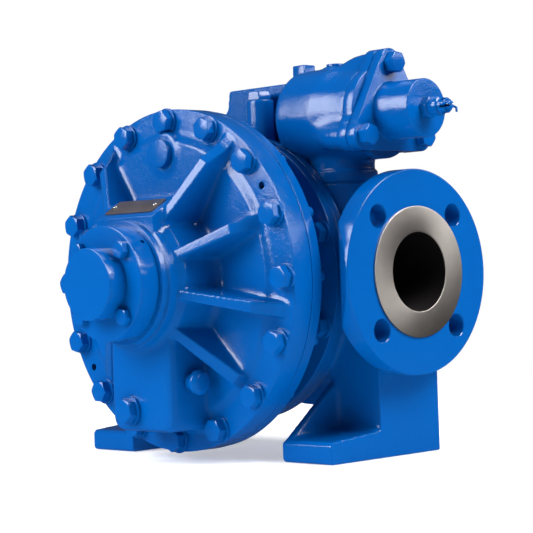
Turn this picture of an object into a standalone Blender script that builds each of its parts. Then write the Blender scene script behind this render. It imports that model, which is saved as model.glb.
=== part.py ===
# Eccentric disc pump: ribbed front casting, bearing bracket, body casting with two flanged ports
# and feet, and a relief valve on top. Metres, +Z up, ports along X, shaft along Y.
# Every piece is drawn from the point where the shaft's and the ports' centre lines cross, and
# hangs on one empty that lifts that point to the shaft's height over the feet.

import bmesh
import bpy
from math import atan2, cos, pi, radians, sin, sqrt
from mathutils import Matrix, Vector

# Driving dimensions
SHAFT_HEIGHT = 0.168
GAP = 0.0003  # clearance between pieces that touch

COVER_FACE_Y = -0.1275
COVER_BACK_Y = -0.1050
COVER_R = 0.160
FLOOR_R = 0.1270
FLOOR_Y = -0.1310
FLOOR_EDGE_R = 0.1345
HUB_R = 0.0650
HUB_SHOULDER_Y = -0.1690
HUB_NOSE_R = 0.0610
HUB_FACE_Y = -0.1905
LONG_RIB_ANGLES = (56.25, -11.25, 123.75, 191.25)
MIDDLE_RIB_ANGLES = (22.5, 157.5)
LOW_RIB_ANGLES = (-45.0, 225.0)
RIB_T = 0.0085
PANEL_Y = -0.1340
PANEL_R = 0.1285
RIB_DRAFT = 0.05
LEDGE_HALF_W = 0.0400
SUMP_HALF_W = 0.0415
SUMP_FACE_Y = -0.173
SUMP_BOTTOM_Z = -0.139

COLLAR_R = 0.0528
COLLAR_FACE_Y = -0.2120
CAP_R = 0.0328
CAP_FACE_Y = -0.2315

BRACKET_BACK_Y = -0.0920
BRACKET_WAIST_R = 0.100
BRACKET_FLANGE_Y = -0.0490
BODY_FRONT_Y = -0.0385
BODY_RING_R = 0.137
BODY_R = 0.106
BODY_REAR_RING_R = 0.130
BODY_REAR_Y = 0.0640
REAR_COVER_T = 0.012
REAR_COVER_END_Y = 0.094

PORT_FACE_X = 0.192
PORT_FLANGE_R = 0.094
PORT_FLANGE_T = 0.021
PORT_RAISED_R = 0.060
PORT_RAISED_T = 0.0017
PORT_BORE_R = 0.0361
PORT_BORE_DEPTH = 0.105
PORT_BOLT_CIRCLE_R = 0.0722
PORT_HOLE_R = 0.0105
PORT_NECK_R = 0.047
PORT_FLAT_DEPTH = 0.0135  # of the sloping flat on the rim, at the flange's back

FOOT_INNER_X = 0.105
FOOT_OUTER_X = 0.1665
FOOT_FRONT_Y = -0.0965
FOOT_WEB_Y = -0.030
FOOT_REAR_Y = 0.051
FOOT_PAD_T = 0.020
FOOT_RIB_T = 0.009

NECK_X = 0.101
NECK_Y = 0.003
NECK_R = 0.0295
NECK_RING_R = 0.0320
NECK_SEAT_Z = 0.084
NECK_RING_TOP_Z = 0.096
GASKET_T = 0.0015
VALVE_Z = 0.148
CHAMBER_R = 0.047
CHAMBER_X = (0.062, 0.118)
LOW_BOSS_X = 0.098
LOW_BOSS_R = 0.0110
LOW_BOSS_Z = 0.1962
TOP_PLUG_XY = (0.0440, 0.0125)
TOP_PLUG_HALF = 0.0080
TOP_PLUG_Z = 0.2035
VALVE_JOINT_X = 0.157
VALVE_FLANGE_T = 0.012
VALVE_BOLT_R = 0.045
BONNET_R = 0.027
BONNET_END_X = 0.209
SCREW_END_X = 0.2385
SCREW_R = 0.0070
SCREW_PIN_X = 0.2320
PIN_R = 0.0011

DUCT_Y = (0.000, 0.048)
DUCT_TOP_Z = 0.187
DUCT_STEP_Z = 0.160
DUCT_FLOOR_Z = 0.118
DUCT_STEP_X = -0.050
DUCT_END_X = -0.118
DUCT_HEAD_R = 0.0345
BOSS_XY = (0.011, -0.0165)
BOSS_R = 0.0133
BOSS_TOP_Z = 0.172

ROUND = 64
SMALL_ROUND = 24


for old in list(bpy.data.objects):
    bpy.data.objects.remove(old)

pump = bpy.data.objects.new("pump", None)
bpy.context.collection.objects.link(pump)


def paint(name, colour, roughness, metallic):
    """One Principled material."""
    mat = bpy.data.materials.new(name)
    mat.use_nodes = True
    shader = mat.node_tree.nodes["Principled BSDF"]
    shader.inputs["Base Color"].default_value = (*colour, 1.0)
    shader.inputs["Roughness"].default_value = roughness
    shader.inputs["Metallic"].default_value = metallic
    return mat


blue = (0.0, 0.105, 0.42)
dark_steel = (0.16, 0.15, 0.145)


def finish(name, bm, mat, smooth=40.0):
    """Turn a bmesh into a named object on the pump's empty."""
    bmesh.ops.remove_doubles(bm, verts=bm.verts, dist=1e-6)
    bmesh.ops.recalc_face_normals(bm, faces=bm.faces)
    mesh = bpy.data.meshes.new(name)
    bm.to_mesh(mesh)
    bm.free()
    mesh.shade_smooth()
    mesh.set_sharp_from_angle(angle=radians(smooth))
    obj = bpy.data.objects.new(name, mesh)
    if mat:
        mesh.materials.append(mat)
    obj.parent = pump
    bpy.context.collection.objects.link(obj)
    return obj


def turned(bm, profile, axis="Y", centre=(0.0, 0.0, 0.0), steps=ROUND, phase=0.0):
    """Spin a closed outline of (radius, along) points about an axis through centre."""
    turn = {"X": Matrix.Rotation(pi / 2, 4, "Y"), "Y": Matrix.Rotation(-pi / 2, 4, "X"), "Z": Matrix()}[axis]
    place = Matrix.Translation(centre) @ turn
    rings = []
    for radius, along in profile:
        if radius < 1e-7:
            rings.append([bm.verts.new(place @ Vector((0.0, 0.0, along)))])
            continue
        ring = []
        for k in range(steps):
            a = phase + 2 * pi * k / steps
            ring.append(bm.verts.new(place @ Vector((radius * cos(a), radius * sin(a), along))))
        rings.append(ring)
    for low, high in zip(rings, rings[1:]):
        for k in range(steps):
            n = (k + 1) % steps
            if len(low) == 1 and len(high) == 1:
                continue
            if len(low) == 1:
                bm.faces.new((low[0], high[k], high[n]))
            elif len(high) == 1:
                bm.faces.new((low[k], high[0], low[n]))
            else:
                bm.faces.new((low[k], high[k], high[n], low[n]))


def disc(bm, radius, lo, hi, axis="Y", centre=(0.0, 0.0, 0.0), steps=ROUND, edge=0.0, phase=0.0):
    """A plain or edge-broken disc along an axis."""
    outline = [(0.0, lo)]
    outline += [(radius - edge, lo), (radius, lo + edge), (radius, hi - edge), (radius - edge, hi)] if edge else [
        (radius, lo), (radius, hi)]
    outline.append((0.0, hi))
    turned(bm, outline, axis, centre, steps, phase)


def loft(bm, rings):
    """Skin a stack of outlines with the same number of points and close both ends."""
    rows = [[bm.verts.new(p) for p in ring] for ring in rings]
    bm.faces.new(rows[0])
    bm.faces.new(reversed(rows[-1]))
    for low, high in zip(rows, rows[1:]):
        for k in range(len(low)):
            n = (k + 1) % len(low)
            bm.faces.new((low[k], high[k], high[n], low[n]))


def lifted(outline, height, plane, inset=0.0):
    """Put a flat outline at a height over its plane, pulled in towards its middle."""
    if inset:
        low = [min(p[i] for p in outline) for i in (0, 1)]
        high = [max(p[i] for p in outline) for i in (0, 1)]
        middle = [(low[i] + high[i]) / 2 for i in (0, 1)]
        scale = [1 - 2 * inset / (high[i] - low[i]) for i in (0, 1)]
        outline = [tuple(middle[i] + (p[i] - middle[i]) * scale[i] for i in (0, 1)) for p in outline]
    return [{"XZ": (p[0], height, p[1]), "YZ": (height, p[0], p[1]), "XY": (p[0], p[1], height)}[plane] for p in outline]


def prism(bm, outline, lo, hi, plane):
    """Extrude a flat outline along the axis it faces."""
    loft(bm, [lifted(outline, lo, plane), lifted(outline, hi, plane)])


def rounded(points, radius, steps=4):
    """Round the corners of a convex outline."""
    out = []
    count = len(points)
    for k in range(count):
        before, here, after = (Vector(points[(k + j - 1) % count]) for j in range(3))
        a = (before - here).normalized()
        b = (after - here).normalized()
        half = a.angle(b) / 2
        reach = min(radius / math_tan(half), (before - here).length * 0.49, (after - here).length * 0.49)
        r = reach * math_tan(half)
        middle = here + (a + b).normalized() * (r / sin(half))
        start = here + a * reach - middle
        sweep = (here + b * reach - middle).angle_signed(start) if hasattr(start, "angle_signed") else 0.0
        for j in range(steps + 1):
            t = sweep * j / steps
            c, s = cos(t), sin(t)
            out.append((middle.x + start.x * c - start.y * s, middle.y + start.x * s + start.y * c))
    return out


def math_tan(a):
    return sin(a) / cos(a)


def hexagon(bm, across, lo, hi, axis, centre, phase=0.0):
    """A hexagonal prism with its corners broken at the outer end."""
    r = across / 2 / cos(pi / 6)
    turned(bm, [(0.0, lo), (r, lo), (r, hi), (0.0, hi)], axis, centre, 6, phase)


def merge(target, bm, name):
    """Add a closed shape to a piece with a union."""
    tool = finish(name, bm, None)
    tool.hide_render = True
    tool.display_type = "WIRE"
    step = target.modifiers.new(name, "BOOLEAN")
    step.operation = "UNION"
    step.solver = "EXACT"
    step.object = tool
    return tool


def cut(target, bm, name):
    """Take a closed shape out of a piece."""
    tool = merge(target, bm, name)
    target.modifiers[-1].operation = "DIFFERENCE"
    return tool


def on_circle(radius, degrees):
    return radius * cos(radians(degrees)), radius * sin(radians(degrees))


def rib(bm, degrees, ridge, thickness=RIB_T):
    """Radial rib under a ridge of (radius, y) points, thicker towards its foot."""
    outline = [(ridge[0][0], -0.1200)] + list(ridge) + [(ridge[-1][0], -0.1200)]
    d = Vector((cos(radians(degrees)), 0.0, sin(radians(degrees))))
    side = Vector((-d.z, 0.0, d.x))
    rings = []
    for sign in (-1, 1):
        ring = []
        for radius, y in outline:
            half = thickness / 2 + (y - ridge[0][1]) * RIB_DRAFT
            ring.append(d * radius + Vector((0.0, y, 0.0)) + side * sign * half)
        rings.append(ring)
    loft(bm, rings)


def front_cover(mat):
    """Ribbed casting: bolt ring, raised floor, hub, radial ribs, top panel, ledge and sump."""
    bm = bmesh.new()
    turned(bm, [
        (0.0, COVER_BACK_Y), (COVER_R, COVER_BACK_Y), (COVER_R, COVER_FACE_Y + 0.0015),
        (COVER_R - 0.0015, COVER_FACE_Y), (FLOOR_EDGE_R, COVER_FACE_Y), (FLOOR_R, FLOOR_Y),
        (HUB_R + 0.0070, FLOOR_Y - 0.0005), (HUB_R + 0.0020, FLOOR_Y - 0.0050), (HUB_R, HUB_SHOULDER_Y),
        (HUB_NOSE_R, HUB_SHOULDER_Y - 0.0050), (HUB_NOSE_R - 0.0020, HUB_FACE_Y + 0.0060),
        (HUB_NOSE_R - 0.0045, HUB_FACE_Y + 0.0050), (HUB_NOSE_R - 0.0045, HUB_FACE_Y), (0.0, HUB_FACE_Y)])
    cover = finish("front_cover", bm, mat)

    bm = bmesh.new()
    for degrees in LONG_RIB_ANGLES:
        rib(bm, degrees, [(0.045, -0.1750), (0.0640, -0.1750), (0.1295, -0.1497), (0.1370, -0.1410),
                          (0.1440, -0.1340), (0.1560, -0.1268)])
    for degrees in MIDDLE_RIB_ANGLES:
        rib(bm, degrees, [(0.045, -0.1740), (0.0645, -0.1740), (0.1160, -0.1532), (0.1280, -0.1340),
                          (0.1335, -0.1268)])
    for degrees in LOW_RIB_ANGLES:
        rib(bm, degrees, [(0.045, -0.1712), (0.0650, -0.1712), (0.1280, -0.1370), (0.1345, -0.1268)], RIB_T + 0.002)
    merge(cover, bm, "ribs")

    # Raised panel between the two upper ribs, with a sloping outer edge
    bm = bmesh.new()
    rings = []
    for radius, y in ((PANEL_R + 0.0100, -0.1200), (PANEL_R + 0.0095, COVER_FACE_Y), (PANEL_R, PANEL_Y)):
        low = LONG_RIB_ANGLES[0]
        arc = [on_circle(radius, low + (180 - 2 * low) * k / 10) for k in range(11)]
        rings.append([(x, y, z) for x, z in arc + [(-0.028, 0.045), (0.028, 0.045)]])
    loft(bm, rings)
    merge(cover, bm, "top_panel")

    # Pad and round boss on the panel
    bm = bmesh.new()
    turned(bm, [(0.0, PANEL_Y + 0.0100), (0.0210, PANEL_Y + 0.0100), (0.0210, PANEL_Y), (0.0175, PANEL_Y - 0.0025),
                (0.0125, PANEL_Y - 0.0028), (0.0123, PANEL_Y - 0.0068), (0.0, PANEL_Y - 0.0068)],
           "Y", (0.0, 0.0, 0.1190), SMALL_ROUND)
    merge(cover, bm, "panel_boss")

    # Sloping ledge that carries the name plate
    bm = bmesh.new()
    prism(bm, [(-0.1850, 0.030), (-0.1850, 0.0600), (-0.1600, 0.0750), (-0.1250, 0.0750), (-0.1250, 0.030)],
          -LEDGE_HALF_W, LEDGE_HALF_W, "YZ")
    merge(cover, bm, "ledge")

    # Oil sump under the hub
    bm = bmesh.new()
    outline = rounded([(-SUMP_HALF_W - 0.0025, -0.035), (-SUMP_HALF_W - 0.0025, SUMP_BOTTOM_Z),
                       (SUMP_HALF_W + 0.0025, SUMP_BOTTOM_Z), (SUMP_HALF_W + 0.0025, -0.035)], 0.014, 5)
    loft(bm, [lifted(outline, SUMP_FACE_Y, "XZ", 0.0065), lifted(outline, SUMP_FACE_Y + 0.0020, "XZ", 0.0030),
              lifted(outline, SUMP_FACE_Y + 0.0070, "XZ", 0.0012), lifted(outline, -0.1200, "XZ")])
    merge(cover, bm, "sump")
    return cover


def bearing_bracket(mat):
    """Ring behind the cover with its tapped bosses, the waist and the flange on the body."""
    bm = bmesh.new()
    turned(bm, [
        (0.0, COVER_BACK_Y + GAP), (COVER_R, COVER_BACK_Y + GAP), (COVER_R, BRACKET_BACK_Y),
        (BRACKET_WAIST_R + 0.006, BRACKET_BACK_Y), (BRACKET_WAIST_R, BRACKET_BACK_Y + 0.006),
        (BRACKET_WAIST_R, BRACKET_FLANGE_Y - 0.006), (BRACKET_WAIST_R + 0.006, BRACKET_FLANGE_Y),
        (BODY_RING_R, BRACKET_FLANGE_Y), (BODY_RING_R, BODY_FRONT_Y - GAP), (0.0, BODY_FRONT_Y - GAP)])
    return finish("bearing_bracket", bm, mat)


def bearing_collar(mat):
    bm = bmesh.new()
    disc(bm, COLLAR_R, COLLAR_FACE_Y, HUB_FACE_Y - GAP, edge=0.001)
    return finish("bearing_collar", bm, mat)


def shaft_end_cap(mat):
    bm = bmesh.new()
    disc(bm, CAP_R, CAP_FACE_Y, COLLAR_FACE_Y - GAP, edge=0.0008)
    return finish("shaft_end_cap", bm, mat)


def name_plate(mat):
    bm = bmesh.new()
    low = Vector((-0.1800, 0.0630 + GAP))
    high = Vector((-0.1610, 0.0744 + GAP))
    lift = Vector((low.y - high.y, high.x - low.x)).normalized() * 0.0012
    prism(bm, [low, high, high + lift, low + lift], -0.033, 0.033, "YZ")
    return finish("name_plate", bm, mat)


def drain_plug(mat):
    bm = bmesh.new()
    centre = (-0.014, 0.0, -0.1180)
    turned(bm, [(0.0, SUMP_FACE_Y - GAP), (0.0140, SUMP_FACE_Y - GAP), (0.0140, SUMP_FACE_Y - 0.0030),
                (0.0, SUMP_FACE_Y - 0.0030)], "Y", centre, SMALL_ROUND)
    plug = finish("drain_plug", bm, mat)
    bm = bmesh.new()
    hexagon(bm, 0.021, SUMP_FACE_Y - 0.0105, SUMP_FACE_Y - 0.0020, "Y", centre)
    merge(plug, bm, "drain_hexagon")
    return plug


def oil_level_plug(mat):
    bm = bmesh.new()
    side = SUMP_HALF_W + 0.0020 + GAP
    turned(bm, [(0.0, side), (0.0080, side), (0.0080, side + 0.008), (0.0115, side + 0.0085),
                (0.0118, side + 0.0125), (0.0085, side + 0.0165), (0.0, side + 0.0180)],
           "X", (0.0, -0.1490, -0.0925), SMALL_ROUND)
    return finish("oil_level_plug", bm, mat)


def port(body, side, mat_tag):
    """One port: flange with raised face, neck, bore, bolt holes and the flat ground on its rim."""
    bm = bmesh.new()
    back = PORT_FACE_X - PORT_FLANGE_T
    turned(bm, [(0.0, side * 0.090), (0.0382, side * 0.090), (0.0382, side * 0.1390), (PORT_NECK_R - 0.002, side * 0.1390),
                (PORT_NECK_R, side * 0.1410), (PORT_NECK_R, side * (back - 0.004)),
                (PORT_NECK_R + 0.004, side * back), (PORT_FLANGE_R - 0.002, side * back),
                (PORT_FLANGE_R, side * (back + 0.002)), (PORT_FLANGE_R, side * (PORT_FACE_X - 0.0015)),
                (PORT_FLANGE_R - 0.0015, side * PORT_FACE_X), (PORT_RAISED_R, side * PORT_FACE_X),
                (PORT_RAISED_R, side * (PORT_FACE_X + PORT_RAISED_T)), (0.0, side * (PORT_FACE_X + PORT_RAISED_T))],
           "X", (0.0, 0.0, 0.0))
    merge(body, bm, "port_" + mat_tag)
    bm = bmesh.new()
    inner, outer = sorted((side * (PORT_FACE_X - PORT_BORE_DEPTH), side * (PORT_FACE_X + 0.02)))
    disc(bm, PORT_BORE_R, inner, outer, "X", steps=48)
    cut(body, bm, "bore_" + mat_tag)
    bm = bmesh.new()
    inner, outer = sorted((side * (FOOT_OUTER_X + 0.0003), side * (PORT_FACE_X + 0.02)))
    for degrees in (45, 135, 225, 315):
        y, z = on_circle(PORT_BOLT_CIRCLE_R, degrees)
        disc(bm, PORT_HOLE_R, inner, outer, "X", (0.0, y, z), SMALL_ROUND)
    cut(body, bm, "bolt_holes_" + mat_tag)
    bm = bmesh.new()
    front = -PORT_FLANGE_R
    prism(bm, [(side * (PORT_FACE_X - 0.0015), front - 0.01), (side * (PORT_FACE_X - 0.0015), front - 0.0002),
               (side * (back - 0.001), front + PORT_FLAT_DEPTH), (side * (back - 0.001), front - 0.01)],
          -0.09, 0.09, "XY")
    cut(body, bm, "rim_flat_" + mat_tag)


def foot(body, side, tag):
    """One foot: pad in front, column under the port, and the rib on the pad's inner end."""
    ground = -SHAFT_HEIGHT
    xs = sorted((side * FOOT_INNER_X, side * FOOT_OUTER_X))
    bm = bmesh.new()
    prism(bm, [(FOOT_FRONT_Y + 0.002, ground), (FOOT_REAR_Y, ground), (FOOT_REAR_Y + 0.0015, -0.030),
               (FOOT_WEB_Y, -0.030), (FOOT_WEB_Y, -0.1425), (FOOT_FRONT_Y + 0.003, ground + FOOT_PAD_T),
               (FOOT_FRONT_Y, ground + FOOT_PAD_T - 0.003), (FOOT_FRONT_Y, ground + 0.002)], xs[0], xs[1], "YZ")
    merge(body, bm, "foot_" + tag)
    bm = bmesh.new()
    xs = sorted((side * (FOOT_INNER_X + 0.0002), side * (FOOT_INNER_X + FOOT_RIB_T)))
    prism(bm, [(FOOT_FRONT_Y + 0.004, -0.1480), (FOOT_WEB_Y - 0.002, -0.1000), (FOOT_WEB_Y + 0.010, -0.0850),
               (FOOT_WEB_Y + 0.010, -0.1500), (FOOT_FRONT_Y + 0.004, -0.1500)], xs[0], xs[1], "YZ")
    merge(body, bm, "foot_rib_" + tag)


def pump_body(mat):
    """Body casting: drum, two ports, two feet, and the seats for the necks and the vent plug."""
    bm = bmesh.new()
    turned(bm, [
        (0.0, BODY_FRONT_Y), (BODY_RING_R, BODY_FRONT_Y), (BODY_RING_R, BODY_FRONT_Y + 0.0090),
        (BODY_R + 0.006, BODY_FRONT_Y + 0.0090), (BODY_R, BODY_FRONT_Y + 0.0150), (BODY_R, BODY_REAR_Y - 0.0180),
        (BODY_R + 0.006, BODY_REAR_Y - 0.0120), (BODY_REAR_RING_R, BODY_REAR_Y - 0.0120),
        (BODY_REAR_RING_R, BODY_REAR_Y), (0.0, BODY_REAR_Y)])
    body = finish("pump_body", bm, mat)
    for side, tag in ((1, "right"), (-1, "left")):
        bm = bmesh.new()
        disc(bm, NECK_RING_R, 0.010, NECK_SEAT_Z, "Z", (side * NECK_X, NECK_Y, 0.0), 32)
        merge(body, bm, "neck_seat_" + tag)
        foot(body, side, tag)
        port(body, side, tag)
    bm = bmesh.new()
    disc(bm, BOSS_R, 0.100, BOSS_TOP_Z, "Z", (*BOSS_XY, 0.0), SMALL_ROUND)
    merge(body, bm, "vent_boss")
    return body


def rear_cover(mat):
    bm = bmesh.new()
    start = BODY_REAR_Y + GAP
    turned(bm, [(0.0, start), (0.122, start), (0.122, start + REAR_COVER_T), (0.098, start + REAR_COVER_T),
                (0.090, REAR_COVER_END_Y - 0.008), (0.080, REAR_COVER_END_Y), (0.0, REAR_COVER_END_Y)])
    return finish("rear_cover", bm, mat)


def neck(casting, side, top, tag):
    """Neck with its joint flange, cast on the piece above it."""
    bm = bmesh.new()
    low = NECK_SEAT_Z + GASKET_T + 2 * GAP
    turned(bm, [(0.0, low), (NECK_RING_R, low), (NECK_RING_R, NECK_RING_TOP_Z),
                (NECK_R, NECK_RING_TOP_Z + 0.002), (NECK_R, top), (0.0, top)], "Z", (side * NECK_X, NECK_Y, 0.0), 32)
    merge(casting, bm, "neck_" + tag)


def gasket(name, side, mat):
    """Flat joint ring between a seat of the body and the neck on it."""
    bm = bmesh.new()
    disc(bm, NECK_RING_R - 0.0005, NECK_SEAT_Z + GAP, NECK_SEAT_Z + GAP + GASKET_T, "Z",
         (side * NECK_X, NECK_Y, 0.0), 32)
    return finish(name, bm, mat)


def three_corner_plate(bm, lo, hi):
    """Flange plate with three rounded corners around the valve's axis."""
    outline = []
    for corner in (90, 210, 330):
        y, z = on_circle(VALVE_BOLT_R, corner)
        for step in range(-3, 4):
            dy, dz = on_circle(0.0135, corner + step * 20)
            outline.append((y + dy, VALVE_Z + z + dz))
        y, z = on_circle(0.0365, corner + 60)
        outline.append((y, VALVE_Z + z))
    prism(bm, outline, lo, hi, "YZ")


def valve_body(mat):
    """Relief valve's chamber, the flare to its three-cornered flange, and the lower socket."""
    bm = bmesh.new()
    flange = VALVE_JOINT_X - VALVE_FLANGE_T
    turned(bm, [(0.0, CHAMBER_X[0]), (CHAMBER_R - 0.006, CHAMBER_X[0]), (CHAMBER_R, CHAMBER_X[0] + 0.006),
                (CHAMBER_R, CHAMBER_X[1]), (0.040, flange + 0.002), (0.0, flange + 0.002)],
           "X", (0.0, 0.0, VALVE_Z), 48)
    body = finish("valve_body", bm, mat)
    bm = bmesh.new()
    three_corner_plate(bm, flange, VALVE_JOINT_X)
    merge(body, bm, "valve_flange")
    bm = bmesh.new()
    disc(bm, BODY_RING_R + 0.001, BODY_FRONT_Y - 0.040, BODY_FRONT_Y + 0.0100)
    cut(body, bm, "ring_clearance")
    neck(body, 1, VALVE_Z - 0.030, "right")
    bm = bmesh.new()
    disc(bm, LOW_BOSS_R, VALVE_Z + 0.020, LOW_BOSS_Z, "Z", (LOW_BOSS_X, 0.0, 0.0), SMALL_ROUND)
    merge(body, bm, "low_boss")
    return body


def valve_bonnet(mat):
    bm = bmesh.new()
    three_corner_plate(bm, VALVE_JOINT_X + GAP, VALVE_JOINT_X + 0.0110)
    bonnet = finish("valve_bonnet", bm, mat)
    bm = bmesh.new()
    turned(bm, [(0.0, VALVE_JOINT_X + 0.005), (BONNET_R, VALVE_JOINT_X + 0.005), (BONNET_R, BONNET_END_X - 0.002),
                (BONNET_R - 0.002, BONNET_END_X), (0.0, BONNET_END_X)], "X", (0.0, 0.0, VALVE_Z), 48)
    merge(bonnet, bm, "spring_housing")
    return bonnet


def lock_nut(mat):
    bm = bmesh.new()
    hexagon(bm, 0.0240, BONNET_END_X + GAP, BONNET_END_X + 0.0130, "X", (0.0, 0.0, VALVE_Z), pi / 6)
    return finish("lock_nut", bm, mat)


def adjusting_screw(mat):
    """Screw end with a slot across it and a cross hole for the pin."""
    bm = bmesh.new()
    disc(bm, SCREW_R, BONNET_END_X + 0.0130 + GAP, SCREW_END_X, "X", (0.0, 0.0, VALVE_Z), SMALL_ROUND, 0.001)
    screw = finish("adjusting_screw", bm, mat)
    bm = bmesh.new()
    disc(bm, PIN_R + GAP, -0.02, 0.02, "Y", (SCREW_PIN_X, 0.0, VALVE_Z), 12)
    cut(screw, bm, "pin_hole")
    bm = bmesh.new()
    prism(bm, [(-0.02, VALVE_Z - 0.0010), (0.02, VALVE_Z - 0.0010), (0.02, VALVE_Z + 0.0010), (-0.02, VALVE_Z + 0.0010)],
          SCREW_END_X - 0.0025, SCREW_END_X + 0.01, "YZ")
    cut(screw, bm, "driver_slot")
    return screw


def split_pin(mat):
    bm = bmesh.new()
    disc(bm, PIN_R, -0.0115, 0.0115, "Y", (SCREW_PIN_X, 0.0, VALVE_Z), 12)
    return finish("split_pin", bm, mat)


def square_plug(mat):
    bm = bmesh.new()
    x, y = TOP_PLUG_XY
    h = TOP_PLUG_HALF
    outline = [(x - h, y - h), (x + h, y - h), (x + h, y + h), (x - h, y + h)]
    loft(bm, [lifted(outline, DUCT_TOP_Z + GAP, "XY"), lifted(outline, TOP_PLUG_Z - 0.001, "XY"),
              lifted(outline, TOP_PLUG_Z, "XY", 0.001)])
    return finish("square_plug", bm, mat)


def round_plug(mat):
    bm = bmesh.new()
    disc(bm, LOW_BOSS_R - 0.0025, LOW_BOSS_Z + GAP, LOW_BOSS_Z + 0.0024, "Z", (LOW_BOSS_X, 0.0, 0.0), SMALL_ROUND, 0.0006)
    return finish("round_plug", bm, mat)


def bypass_duct(mat):
    """Block-shaped casting from the chamber towards the left port."""
    bm = bmesh.new()
    outline = [(CHAMBER_X[0] - GAP, DUCT_FLOOR_Z), (CHAMBER_X[0] - GAP, DUCT_TOP_Z), (DUCT_STEP_X, DUCT_TOP_Z),
               (DUCT_STEP_X - 0.003, DUCT_STEP_Z + 0.008), (DUCT_STEP_X - 0.012, DUCT_STEP_Z), (DUCT_END_X, DUCT_STEP_Z),
               (DUCT_END_X, DUCT_FLOOR_Z)]
    prism(bm, outline, DUCT_Y[0], DUCT_Y[1], "XZ")
    duct = finish("bypass_duct", bm, mat)
    bm = bmesh.new()
    turned(bm, [(0.0, DUCT_FLOOR_Z), (DUCT_HEAD_R, DUCT_FLOOR_Z), (DUCT_HEAD_R, DUCT_STEP_Z - 0.0050),
                (DUCT_HEAD_R - 0.0030, DUCT_STEP_Z - 0.0005), (0.0, DUCT_STEP_Z - 0.0005)],
           "Z", (-NECK_X, NECK_Y, 0.0), 32)
    merge(duct, bm, "duct_head")
    neck(duct, -1, DUCT_FLOOR_Z + 0.010, "left")
    return duct


def vent_plug(mat):
    bm = bmesh.new()
    hexagon(bm, 0.0190, BOSS_TOP_Z + GAP, BOSS_TOP_Z + 0.0080, "Z", (*BOSS_XY, 0.0))
    return finish("vent_plug", bm, mat)


def build():
    enamel = paint("blue_enamel", blue, 0.25, 0.0)
    plate = paint("plate_metal", dark_steel, 0.4, 0.8)
    front_cover(enamel)
    bearing_bracket(enamel)
    bearing_collar(enamel)
    shaft_end_cap(enamel)
    name_plate(plate)
    drain_plug(enamel)
    oil_level_plug(enamel)
    pump_body(enamel)
    rear_cover(enamel)
    gasket("valve_gasket", 1, plate)
    gasket("duct_gasket", -1, plate)
    valve_body(enamel)
    valve_bonnet(enamel)
    lock_nut(enamel)
    adjusting_screw(enamel)
    square_plug(enamel)
    round_plug(enamel)
    split_pin(plate)
    bypass_duct(enamel)
    vent_plug(enamel)
    centre_x = (SCREW_END_X - PORT_FACE_X - PORT_RAISED_T) / 2
    centre_y = (CAP_FACE_Y + REAR_COVER_END_Y) / 2
    pump.location = (-centre_x, -centre_y, SHAFT_HEIGHT)


build()
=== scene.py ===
from math import atan2, cos, hypot, pi, radians, sin, tan

import bmesh
import bpy
import numpy as np
from mathutils import Matrix, Vector


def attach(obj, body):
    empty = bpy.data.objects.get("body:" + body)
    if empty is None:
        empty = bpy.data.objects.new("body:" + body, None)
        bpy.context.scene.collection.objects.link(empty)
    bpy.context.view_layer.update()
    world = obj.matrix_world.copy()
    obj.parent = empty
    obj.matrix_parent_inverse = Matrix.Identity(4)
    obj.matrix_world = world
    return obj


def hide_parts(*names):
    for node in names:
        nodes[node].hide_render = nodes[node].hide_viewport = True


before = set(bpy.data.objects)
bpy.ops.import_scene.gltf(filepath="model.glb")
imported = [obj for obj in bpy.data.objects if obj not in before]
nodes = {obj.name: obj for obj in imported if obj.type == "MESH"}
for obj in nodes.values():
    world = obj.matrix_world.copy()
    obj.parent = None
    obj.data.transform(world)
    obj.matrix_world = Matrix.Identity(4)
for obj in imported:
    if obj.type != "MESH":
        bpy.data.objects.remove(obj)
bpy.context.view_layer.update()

scene = bpy.context.scene

# The shapes are drawn from the point where the shaft's and the ports' centre lines cross, in metres,
# and this carries them to the row frame.
rowShift = Vector((-0.0224, 0.06875, 0.168))


def linear(code):
    # A hexadecimal sRGB colour as the linear values that a shader takes
    parts = [int(code[k:k + 2], 16) / 255 for k in (0, 2, 4)]
    return tuple(p / 12.92 if p <= 0.04045 else ((p + 0.055) / 1.055) ** 2.4 for p in parts) + (1.0,)


def addNode(tree, kind, values=None, **settings):
    # Adds one node, sets its fields, and fills its inputs with constants or links
    made = tree.nodes.new(kind)
    for key, value in settings.items():
        setattr(made, key, value)
    for key, value in (values or {}).items():
        if isinstance(value, bpy.types.NodeSocket):
            tree.links.new(value, made.inputs[key])
        else:
            made.inputs[key].default_value = value
    return made


def blankMaterial(name):
    made = bpy.data.materials.new(name)
    made.use_nodes = True
    made.node_tree.nodes.clear()
    return made, made.node_tree


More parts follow.
